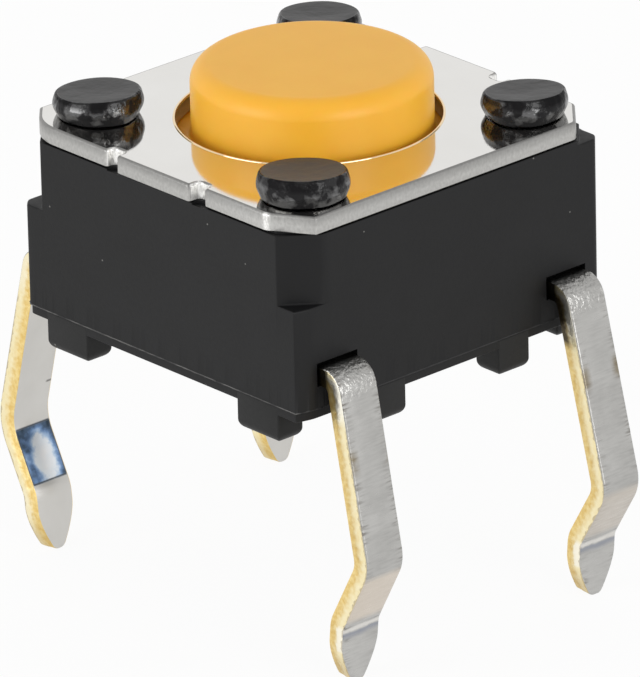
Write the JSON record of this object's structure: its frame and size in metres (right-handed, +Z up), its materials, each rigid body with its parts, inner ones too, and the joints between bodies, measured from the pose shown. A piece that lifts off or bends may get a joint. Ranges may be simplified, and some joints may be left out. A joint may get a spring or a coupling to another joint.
{
  "type": "tactile push button switch",
  "caption": "Square tactile push button switch with a round plunger, a steel cover staked to a moulded base, and four kinked through-hole legs.",
  "frame": {"origin": "middle of the switch, at the height of the four leg tips", "axes": "+Z up along the button's travel, +X across the switch towards one row of legs, +Y along that row of legs"},
  "size_m": [0.0082, 0.006, 0.0081],
  "materials": {
    "base_plastic": "black glass-filled nylon, fine matte",
    "cover_steel": "bright rolled stainless sheet with sheared edges",
    "button_plastic": "orange-yellow acetal, satin",
    "dome_steel": "stainless spring sheet, plated",
    "terminal_metal": "brass strip, silver plated before stamping, bare brass on the cut edges"
  },
  "bodies": {
    "switch_body": {"base": "base_plastic", "cover_plate": "cover_steel", "contact_dome": "dome_steel", "centre_terminal": "terminal_metal", "outer_terminal": "terminal_metal"},
    "plunger": {"button": "button_plastic"}
  },
  "joints": [
    {"name": "button_press", "type": "slide", "parent": "switch_body", "child": "plunger", "axis": [0, 0, -1], "range_m": [0, 0.00025], "stiffness_N_per_m": 5200, "deforming": ["contact_dome"]}
  ]
}
